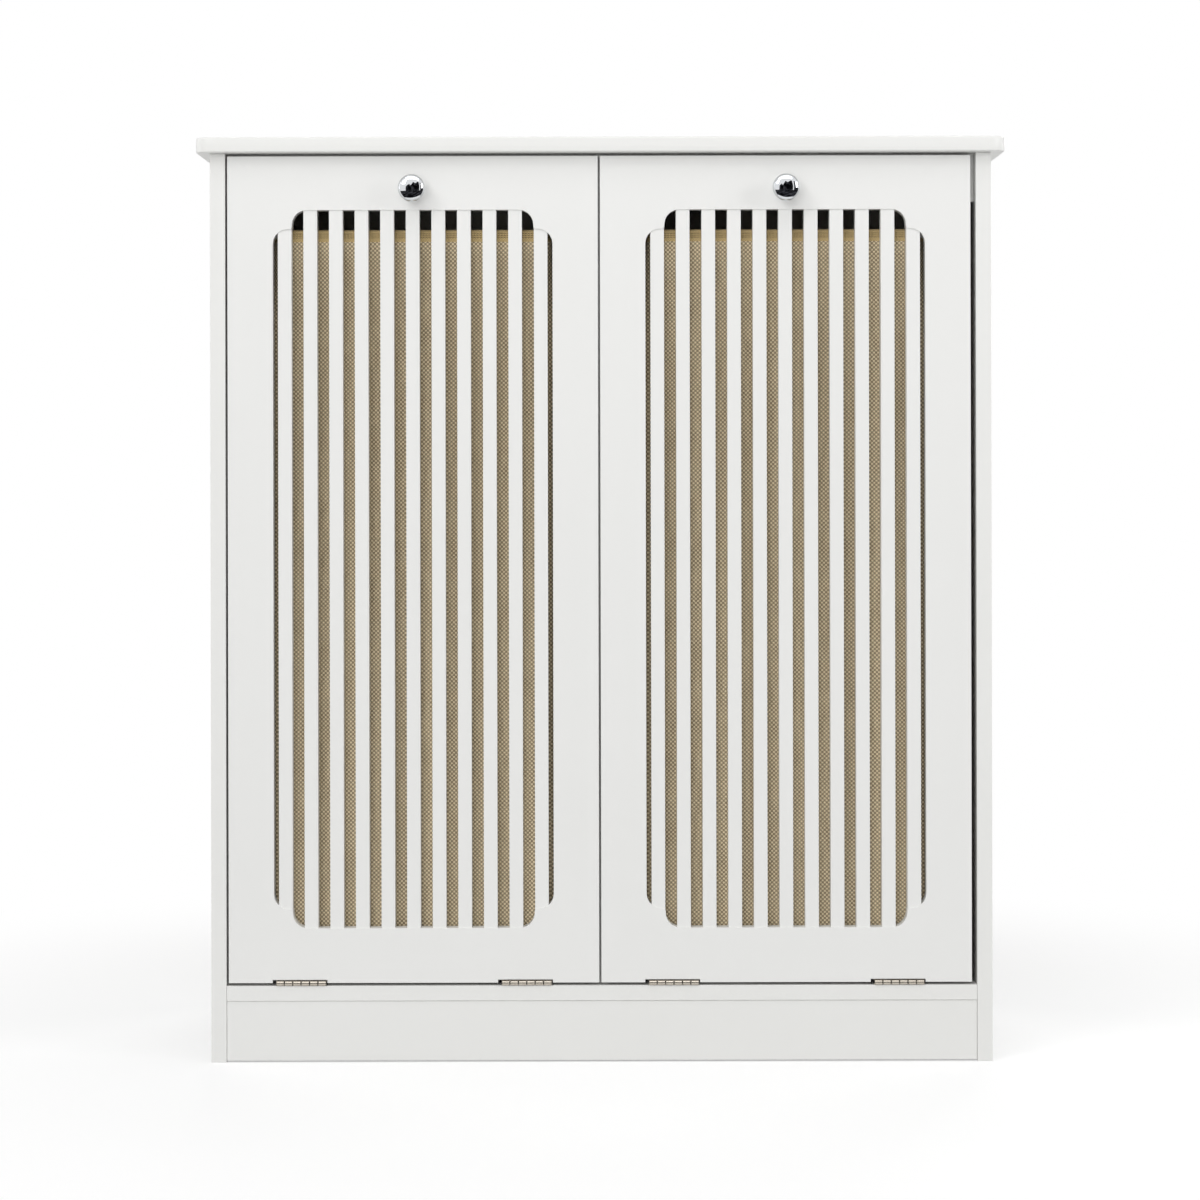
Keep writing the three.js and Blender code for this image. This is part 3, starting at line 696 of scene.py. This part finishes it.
# Stays: a slotted arm of zinc-plated steel on the outer side of each door, riveted to a bracket
# that two screws hold on the door. It slides on a shouldered stud pressed into the side panel.
crown_flat = 0.002
crown_drop = 0.0006
crown_rise = 0.0001
head_dome = 0.0005
stay_head = 0.0015
stay_neck = 0.0024
stud_plug = 0.0092
stud_plug_radius = 0.0018
stud_flange = 0.002
bracket_sheet = 0.0015
bracket_screw = 0.0032
bracket_screw_inset = 0.008
bracket_screw_end = 0.007
for side, sign in (("left", -1), ("right", 1)):
    dress(nodes[f"{side}_stay_arm"], zinc)
    dress(nodes[f"{side}_stay_bracket"], zinc)
    low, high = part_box(f"{side}_stay_bracket")
    foot_x = high.x - bracket_screw_inset if sign < 0 else low.x + bracket_screw_inset
    screws = []
    for z in (low.z + bracket_screw_end, high.z - bracket_screw_end):
        screws.append(screw_head(bracket_screw, (foot_x, low.y + bracket_sheet, z), (0, 1, 0)))
    piece = mesh_piece(f"{side}_bracket_screws", together(*screws), zinc)
    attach(piece, f"{side}_door")
    for node in (f"{side}_stay_rivet", f"{side}_stay_stud"):
        low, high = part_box(node)
        middle = (low + high) / 2
        radius = (high.y - low.y) / 2
        length = high.x - low.x
        profile = [
            (crown_flat, 0),
            (radius - crown_drop, crown_rise),
            (radius, head_dome),
            (radius, stay_head),
            (stay_neck, stay_head),
        ]
        if node.endswith("stud"):
            plug_start = length - stud_plug
            profile += [
                (stay_neck, plug_start - stud_flange),
                (radius, plug_start - stud_flange),
                (radius, plug_start),
                (stud_plug_radius, plug_start),
                (stud_plug_radius, length),
            ]
        else:
            profile += [(wide, length - far) for wide, far in reversed(profile)]
        start = high.x if sign < 0 else low.x
        shape = placed(turned(profile), (start, middle.y, middle.z), (sign, 0, 0))
        piece = mesh_piece(f"{node}_turned", shape, zinc)
        stand_in(piece, node)

# Bag frames: 5 mm steel wire bent to a rounded rectangle, welded and coated white. It lies loose
# on two folded carriers screwed to the back of the door, so bag and frame lift out.
wire_radius = 0.0025
wire_corner = 0.0225
wire_steps = 12
wire_sides = 14
wire_crease = 60
carrier_sheet = 0.0012
carrier_screw = 0.003
carrier_screw_inset = 0.009
carrier_screw_bottom = 0.007
carrier_screw_top = 0.008


def frame_path(low, high):
    left = low.x + wire_radius
    right = high.x - wire_radius
    front = low.y + wire_radius
    back = high.y - wire_radius
    corners = ((right, back, 0), (left, back, 90), (left, front, 180), (right, front, 270))
    path = []
    for x, y, first in corners:
        centre_x = x - wire_corner if x == right else x + wire_corner
        centre_y = y - wire_corner if y == back else y + wire_corner
        for i in range(wire_steps + 1):
            a = math.radians(first + 90 * i / wire_steps)
            across = wire_corner * math.cos(a)
            path.append(Vector((centre_x + across, centre_y + wire_corner * math.sin(a), 0)))
    return path


def wire_ring(path, z):
    rings = []
    count = len(path)
    for i, point in enumerate(path):
        along = (path[(i + 1) % count] - path[i - 1]).normalized()
        across = along.cross(Vector((0, 0, 1)))
        ring = []
        for x, y in polygon(wire_sides, wire_radius):
            spot = point + across * x
            ring.append((spot.x, spot.y, z + y))
        rings.append(ring)
    rings.append(rings[0])
    return lofted(rings, capped=False)


# White powder coat: plastic powder baked on the steel. It gives the eye a smooth satin skin, a
# little greyer than the boards.
coat = pearl_board("white_powder_coat", "#E8E8E6", "#E0E0DE", 0.4)
for side in ("left", "right"):
    low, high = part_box(f"{side}_bag_frame")
    shape = wire_ring(frame_path(low, high), (low.z + high.z) / 2)
    wire = mesh_piece(f"{side}_coated_wire", shape, coat, crease=wire_crease)
    stand_in(wire, f"{side}_bag_frame")
    for number in (1, 2):
        dress(nodes[f"{side}_bag_carrier_{number}"], coat)
        low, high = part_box(f"{side}_bag_carrier_{number}")
        foot_x = high.x - carrier_screw_inset if number == 2 else low.x + carrier_screw_inset
        screws = []
        for z in (low.z + carrier_screw_bottom, high.z - carrier_screw_top):
            spot = (foot_x, low.y + carrier_sheet, z)
            screws.append(screw_head(carrier_screw, spot, (0, 1, 0)))
        piece = mesh_piece(f"{side}_carrier_screws_{number}", together(*screws), zinc)
        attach(piece, f"{side}_door")

# Laundry bags: tan paper-yarn cloth sewn to a box shape, with a casing sewn round the front and
# rear wires. The sides hang inside the wires, clear of the carriers, and swell out below them,
# and the empty bag falls in soft upright folds to a sagging floor.
# The cloth's two colours carry the yarns' own tan and also painted light and painted shade.
cloth_pale_and_painted_lit = "#EEDDBB"
cloth_dark_and_painted_shade = "#85755C"
yarn = 0.0021
slub_stretch = 0.12
# The next two shares paint the yarn relief and the crossings into the colour as painted light and
# shade.
painted_hollow_shade_share = 0.3
painted_crossing_light_share = 0.7
slub_share = 0.5
# The casing's two colours carry the tape's own tone and also painted light and painted shade.
casing_pale_and_painted_lit = "#D6BE8C"
casing_dark_and_painted_shade = "#B99F6C"
casing_yarn = 0.6
stitch_brown = "#7A6542"
stitch_rows = (0.0161, 0.0180, 0.0199)
stitch_width = 0.00035
stitch_half_pitch = 0.0015
stitch_half_gap = 0.0004
stitch_pull = 1.5
around_count = 260
wall_levels = 44
cloth_thickness = 0.00045
cloth_crease = 75
bag_bottom = 0.0953
floor_turn = 0.016
floor_angles = (20, 40, 60, 80)
floor_drop = 0.97
floor_sag = 0.0006
floor_shares = (0.85, 0.65, 0.45, 0.25, 0.08)
casing_fades = (0.75, 0.98)
front_starts = 0.5
wall_inset = 0.0031
wall_taper = 0.004
front_belly = 0.0107
belly_full = 0.9
side_swell = 0.0036
corner_swell = 0.0045
casing_end = 0.035
carriers_end = 0.13
fold_depth = 0.0042
folds_full = 0.25
folds_flatten = 0.75
folds_flattened = 0.45
wide_fold = 0.083
wide_share = 0.32
wide_sway = 0.9
wide_sway_turn = 2.6
narrow_fold = 0.047
narrow_share = 0.18
narrow_lean = 1.7
# The folds' starting turn, and how far the front wall stands forward under the casing.
bag_hangs = (("left", 0.7, 0.0031), ("right", 2.4, 0.0051))
# Both lists run over the wire from inside the bag: millimetres outwards, then up, from its middle.
casing_outside = [
    (-3.0, -6),
    (-3.0, -3),
    (-2.95, 0),
    (-2.6, 2.5),
    (-1.6, 4.6),
    (0, 5.8),
    (2.2, 5.5),
    (3.6, 4.4),
    (4.5, 2),
    (4.7, -2),
    (4.6, -6),
]
band_inside = [
    (-4.3, -6),
    (-4.3, -3),
    (-4.3, 0),
    (-4.25, 2.5),
    (-4.2, 4.6),
    (-3.7, 5.8),
    (-3.2, 5.4),
    (-3.0, 4),
    (-2.95, 1.5),
    (-2.9, -2),
    (-2.9, -6),
]


def ease(value, low, high):
    t = min(1, max(0, (value - low) / (high - low)))
    return t * t * (3 - 2 * t)


def evenly(path, count):
    lengths = [0]
    for i, point in enumerate(path):
        lengths.append(lengths[-1] + (path[(i + 1) % len(path)] - point).length)
    result = []
    i = 0
    for k in range(count):
        target = lengths[-1] * k / count
        while lengths[i + 1] < target:
            i += 1
        share = (target - lengths[i]) / max(lengths[i + 1] - lengths[i], 1e-9)
        result.append(path[i].lerp(path[(i + 1) % len(path)], share))
    return result, lengths[-1]


def cloth_material(name, light, dark, cell, rows):
    material = new_material(name)
    uv = add(material, "ShaderNodeUVMap", {"uv_map": "cloth"}, {}).outputs[0]
    split = add(material, "ShaderNodeSeparateXYZ", {}, {0: uv})
    checks = add(material, "ShaderNodeTexChecker", {}, {"Vector": uv, "Scale": 1 / cell})
    bulges = []
    for axis in (0, 1):
        turn = add(
            material,
            "ShaderNodeMath",
            {"operation": "MULTIPLY"},
            {0: split.outputs[axis], 1: math.pi / cell},
        )
        wave = add(material, "ShaderNodeMath", {"operation": "SINE"}, {0: turn.outputs[0]})
        bulge = add(material, "ShaderNodeMath", {"operation": "ABSOLUTE"}, {0: wave.outputs[0]})
        bulges.append(bulge.outputs[0])
    relief = add(
        material,
        "ShaderNodeMix",
        {},
        {0: checks.outputs[1], 2: bulges[0], 3: bulges[1]},
    ).outputs[0]
    stretched = add(
        material,
        "ShaderNodeMapping",
        {},
        {"Vector": uv, "Scale": (1, slub_stretch, 1)},
    )
    slub = add(
        material,
        "ShaderNodeTexNoise",
        {},
        {"Vector": stretched.outputs[0], "Scale": 0.5 / cell, "Detail": 3},
    )
    # Tone: painted light and shade of the weave, plus the yarns' own uneven slub.
    tone = add(
        material,
        "ShaderNodeMath",
        {"operation": "MULTIPLY"},
        {0: relief, 1: painted_hollow_shade_share},
    ).outputs[0]
    for source, part in ((checks.outputs[1], painted_crossing_light_share), (slub.outputs[0], slub_share)):
        tone = add(
            material,
            "ShaderNodeMath",
            {"operation": "MULTIPLY_ADD"},
            {0: source, 1: part, 2: tone},
        ).outputs[0]
    share = add(
        material,
        "ShaderNodeMapRange",
        {},
        {"Value": tone, "From Min": 0.3, "From Max": 1.25},
    )
    colour = add(
        material,
        "ShaderNodeMix",
        {"data_type": "RGBA"},
        {0: share.outputs[0], 6: linear(dark), 7: linear(light)},
    ).outputs[2]
    for row in rows:
        near = add(
            material,
            "ShaderNodeMath",
            {"operation": "COMPARE"},
            {0: split.outputs[1], 1: row, 2: stitch_width},
        )
        dash = add(
            material,
            "ShaderNodeMath",
            {"operation": "PINGPONG"},
            {0: split.outputs[0], 1: stitch_half_pitch},
        )
        sewn = add(
            material,
            "ShaderNodeMath",
            {"operation": "GREATER_THAN"},
            {0: dash.outputs[0], 1: stitch_half_gap},
        )
        thread = add(
            material,
            "ShaderNodeMath",
            {"operation": "MULTIPLY"},
            {0: near.outputs[0], 1: sewn.outputs[0]},
        )
        colour = add(
            material,
            "ShaderNodeMix",
            {"data_type": "RGBA"},
            {0: thread.outputs[0], 6: colour, 7: linear(stitch_brown)},
        ).outputs[2]
        relief = add(
            material,
            "ShaderNodeMath",
            {"operation": "MULTIPLY_ADD"},
            {0: near.outputs[0], 1: -stitch_pull, 2: relief},
        ).outputs[0]
    bump = add(
        material,
        "ShaderNodeBump",
        {},
        {"Height": relief, "Strength": 0.8, "Distance": 0.0003},
    )
    surface = add(
        material,
        "ShaderNodeBsdfPrincipled",
        {},
        {
            "Base Color": colour,
            "Roughness": 0.85,
            "Normal": bump.outputs[0],
            "Sheen Weight": 0.15,
            "Sheen Roughness": 0.5,
        },
    )
    add(material, "ShaderNodeOutputMaterial", {}, {"Surface": surface.outputs[0]})
    return material


# Woven paper yarn: twisted kraft paper in a plain weave. It gives the eye a matt tan, uneven from
# yarn to yarn, with painted light on the yarn tops and painted shade in the hollows and on every
# other crossing. The yarns, 1.2 mm apart, are drawn 2.1 mm apart, because finer ones disappear in
# the render.
woven = cloth_material("woven_paper_yarn", cloth_pale_and_painted_lit, cloth_dark_and_painted_shade, yarn, ())
# Casing tape: a closer and yellower weave, folded over the wire and sewn down with three rows of
# brown stitches. It gives the eye a smooth band above the coarse cloth, with the same painted light
# on the yarn tops and painted shade in the hollows and on every other crossing.
casing = cloth_material("casing_tape", casing_pale_and_painted_lit, casing_dark_and_painted_shade, yarn * casing_yarn, stitch_rows)


def fold(s, t, phase):
    sway = wide_sway * math.sin(wide_sway_turn * t + phase)
    wide = math.sin(2 * math.pi * s / wide_fold + phase + sway)
    narrow = math.sin(2 * math.pi * s / narrow_fold + 2 * phase + narrow_lean * t)
    return 0.5 + wide_share * wide + narrow_share * narrow


for side, phase, slack in bag_hangs:
    low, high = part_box(f"{side}_bag_frame")
    wire_z = (low.z + high.z) / 2
    ring, perimeter = evenly(frame_path(low, high), around_count)
    out = []
    for i in range(around_count):
        along = ring[(i + 1) % around_count] - ring[i - 1]
        out.append(along.cross(Vector((0, 0, 1))).normalized())
    cased = [ease(abs(normal.y), *casing_fades) for normal in out]
    rings = []
    for (wide, up), (inner, _) in zip(casing_outside, band_inside):
        level = []
        for point, normal, share in zip(ring, out, cased):
            reach = (inner + (wide - inner) * share) / 1000
            spot = point + normal * reach
            level.append((spot.x, spot.y, wire_z + up / 1000))
        rings.append(level)
    casing_levels = len(rings)
    band_end, end_up = band_inside[-1]
    casing_reach = casing_outside[-1][0] - band_end
    top = wire_z + end_up / 1000
    for k in range(1, wall_levels + 1):
        t = k / wall_levels
        z = top + (bag_bottom + floor_turn - top) * t
        amount = fold_depth * ease(t, 0, folds_full)
        amount *= 1 - folds_flattened * ease(t, folds_flatten, 1)
        level = []
        for i, (point, normal, share) in enumerate(zip(ring, out, cased)):
            start = (band_end + casing_reach * share) / 1000
            forward = ease(-normal.y, front_starts, 1)
            wall = forward * (slack + (front_belly - slack) * ease(t, 0, belly_full))
            wall -= wall_inset + wall_taper * t
            swell = (side_swell + wall_taper * t) * normal.x**2
            swell += corner_swell * (2 * normal.x * normal.y) ** 2
            wall += swell * ease(t, casing_end, carriers_end)
            reach = start + (wall - start) * ease(t, 0, casing_end)
            reach -= amount * fold(perimeter * i / around_count, t, phase)
            spot = point + normal * reach
            level.append((spot.x, spot.y, z))
        rings.append(level)
    edge = rings[-1]
    for a in floor_angles:
        drawn = floor_turn * (1 - math.cos(math.radians(a)))
        drop = floor_turn * math.sin(math.radians(a)) * floor_drop
        level = []
        for (x, y, z), normal in zip(edge, out):
            level.append((x - normal.x * drawn, y - normal.y * drawn, z - drop))
        rings.append(level)
    floor_start = len(rings) - 1
    centre = (low + high) / 2
    for share in floor_shares:
        sag = floor_sag * (1 - share)
        level = []
        for x, y, z in rings[floor_start]:
            drawn_x = centre.x + (x - centre.x) * share
            drawn_y = centre.y + (y - centre.y) * share
            level.append((drawn_x, drawn_y, z - sag))
        rings.append(level)
    points, faces = lofted(rings, capped=False)
    start = (len(rings) - 1) * around_count
    faces.append(tuple(start + i for i in range(around_count)))
    bag = mesh_piece(f"{side}_woven_bag", (points, faces), woven, crease=cloth_crease)
    bag.data.materials.append(casing)
    walked = [0]
    for one, two in zip(rings, rings[1:]):
        walked.append(walked[-1] + (Vector(two[0]) - Vector(one[0])).length)
    layer = bag.data.uv_layers.new(name="cloth")
    for face in bag.data.polygons:
        columns = [index % around_count for index in face.vertices]
        wraps = max(columns) - min(columns) > 1
        for loop, index in zip(face.loop_indices, face.vertices):
            column = index % around_count
            row = index // around_count
            if wraps and column == 0:
                column = around_count
            layer.data[loop].uv = (perimeter * column / around_count, walked[row])
            if row >= floor_start:
                layer.data[loop].uv = bag.data.vertices[index].co.xy
        if min(index // around_count for index in face.vertices) < casing_levels - 1:
            face.material_index = 1
    thick = bag.modifiers.new("thick", "SOLIDIFY")
    thick.thickness = cloth_thickness
    thick.offset = -1
    stand_in(bag, f"{side}_laundry_bag")

# Floor: a plain pale studio floor. It keeps the cabinet's soft shadow, looks white where it is
# seen or mirrored, and fades into the white backdrop away from the cabinet.
floor_size = 8
floor_clear = 0.5
floor_faded = 1.15
floor_grey = "#CDCDCD"
floor_lift = 0.42
# Matt floor paint: rolled on in thin coats. It gives the eye an even pale ground with no gloss.
floor_material = new_material("studio_floor")


def looked_at(owner):
    ray = add(owner, "ShaderNodeLightPath", {}, {})
    seen = ray.outputs["Is Camera Ray"]
    for kind in ("Is Glossy Ray", "Is Transmission Ray"):
        seen = add(
            owner,
            "ShaderNodeMath",
            {"operation": "ADD", "use_clamp": True},
            {0: seen, 1: ray.outputs[kind]},
        ).outputs[0]
    return seen


place = add(floor_material, "ShaderNodeTexCoord", {}, {}).outputs["Object"]
far = add(floor_material, "ShaderNodeVectorMath", {"operation": "LENGTH"}, {0: place})
fade = add(
    floor_material,
    "ShaderNodeMapRange",
    {"interpolation_type": "SMOOTHSTEP"},
    {"Value": far.outputs["Value"], "From Min": floor_clear, "From Max": floor_faded},
)
seen = looked_at(floor_material)
share = add(
    floor_material,
    "ShaderNodeMath",
    {"operation": "MULTIPLY"},
    {0: fade.outputs[0], 1: seen},
)
matt = add(floor_material, "ShaderNodeBsdfDiffuse", {}, {"Color": linear(floor_grey)})
lift = add(
    floor_material,
    "ShaderNodeMath",
    {"operation": "MULTIPLY"},
    {0: seen, 1: floor_lift},
)
lifted = add(floor_material, "ShaderNodeEmission", {}, {"Strength": lift.outputs[0]})
near = add(floor_material, "ShaderNodeAddShader", {}, {0: matt.outputs[0], 1: lifted.outputs[0]})
glow = add(floor_material, "ShaderNodeEmission", {}, {"Color": (1, 1, 1, 1), "Strength": 1})
mixed = add(
    floor_material,
    "ShaderNodeMixShader",
    {},
    {0: share.outputs[0], 1: near.outputs[0], 2: glow.outputs[0]},
)
add(floor_material, "ShaderNodeOutputMaterial", {}, {"Surface": mixed.outputs[0]})
half = floor_size / 2
corners = [(-half, -half, 0), (half, -half, 0), (half, half, 0), (-half, half, 0)]
floor = mesh_piece("studio_floor", (corners, [(0, 1, 2, 3)]), floor_material)
floor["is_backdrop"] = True

# Light: a soft key lamp at the upper left, a small lamp at the right front, and a broad front lamp
# that the chrome doesn't mirror. Others light the top, sides and back at their own colour. The
# room is white to the eye, and dim as a light.
room_level = 0.2
world = bpy.data.worlds.new("white_room")
bpy.context.scene.world = world
world.use_nodes = True
world.node_tree.nodes.clear()
level = add(
    world,
    "ShaderNodeMapRange",
    {},
    {"Value": looked_at(world), "To Min": room_level, "To Max": 1},
)
room = add(
    world,
    "ShaderNodeBackground",
    {},
    {"Color": (1, 1, 1, 1), "Strength": level.outputs[0]},
)
add(world, "ShaderNodeOutputWorld", {}, {"Surface": room.outputs[0]})

# Each lamp has its place, the point that it looks at, its width and height, and its watts.
lamps = {
    "key": ((-3.1, -3.8, 3.4), (0, 0, 0.6), (1.8, 1.8), 54),
    "right_front": ((2.5, -1.5, 1.5), (0, 0, 0.6), (1.2, 1.2), 19),
    "front": ((-0.8, -4.2, 1.3), (0, 0, 0.6), (2.8, 2.2), 59),
    "overhead": ((0, -1.5, 2.9), (0, -0.5, 0), (3, 1.6), 26),
    "left": ((-3.4, 0.7, 1.7), (0, 0, 0.5), (2, 2), 25),
    "right": ((3.4, 0.7, 1.7), (0, 0, 0.5), (2, 2), 26),
    "rear": ((0.5, 3.8, 2.2), (0, 0, 0.5), (3, 2), 68),
}
for name, (spot, aim, size, power) in lamps.items():
    data = bpy.data.lights.new(name, "AREA")
    data.shape = "RECTANGLE"
    data.size, data.size_y = size
    data.energy = power
    lamp = bpy.data.objects.new(name, data)
    lamp.location = spot
    direction = Vector(aim) - Vector(spot)
    lamp.rotation_euler = direction.to_track_quat("-Z", "Y").to_euler()
    lamp.visible_glossy = name != "front"
    bpy.context.scene.collection.objects.link(lamp)

# Dark card: a floor and a curved wall of black card round the front of the cabinet, low at the
# left and with a slit at the right. Only the chrome sees it, and gets its dark middle and the
# thin bright line beside it from there.
card_radius = 4.8
card_inner = 0.9
card_clear = 0.02
card_black = "#0E0E10"
card_grey = "#5A5A60"
# The card's upper edge: degrees round from straight ahead, then height in metres.
card_edge = ((-75, 0.03), (-50, 0.05), (-24, 0.3), (-22, 1.6), (-12, 2.2), (-6, 1.7), (2, 3))
card_edge += ((10, 2.5), (26, 3.6), (29.5, 3.3), (30, 0.2), (36, 0.2), (36.5, 3.3), (60, 3))
card_edge += ((78, 2.6), (104, 2))
# Black card: thick uncoated paper board. It gives the chrome a matt black with cloudy grey patches.
card_material = new_material("dark_card")
place = add(card_material, "ShaderNodeTexCoord", {}, {}).outputs["Object"]
cloud = add(card_material, "ShaderNodeTexNoise", {}, {"Vector": place, "Scale": 1.4, "Detail": 4})
tone = add(
    card_material,
    "ShaderNodeMapRange",
    {},
    {"Value": cloud.outputs[0], "From Min": 0.45, "From Max": 0.7},
)
mix = add(
    card_material,
    "ShaderNodeMix",
    {"data_type": "RGBA"},
    {0: tone.outputs[0], 6: linear(card_black), 7: linear(card_grey)},
)
matt = add(card_material, "ShaderNodeBsdfDiffuse", {}, {"Color": mix.outputs[2]})
add(card_material, "ShaderNodeOutputMaterial", {}, {"Surface": matt.outputs[0]})
rings = [[], [], []]
for turn, height in card_edge:
    x = math.sin(math.radians(turn))
    y = -math.cos(math.radians(turn))
    rings[0].append((card_inner * x, card_inner * y, card_clear))
    rings[1].append((card_radius * x, card_radius * y, card_clear))
    rings[2].append((card_radius * x, card_radius * y, height))
card = mesh_piece("dark_card", lofted(rings, closed=False, capped=False), card_material)
card.visible_camera = False
card.visible_diffuse = False
card.visible_shadow = False
card.visible_transmission = False
card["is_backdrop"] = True

bpy.context.scene.view_settings.view_transform = "Standard"

size = [[list(corner) for corner in box] for box in (built_box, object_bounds())]
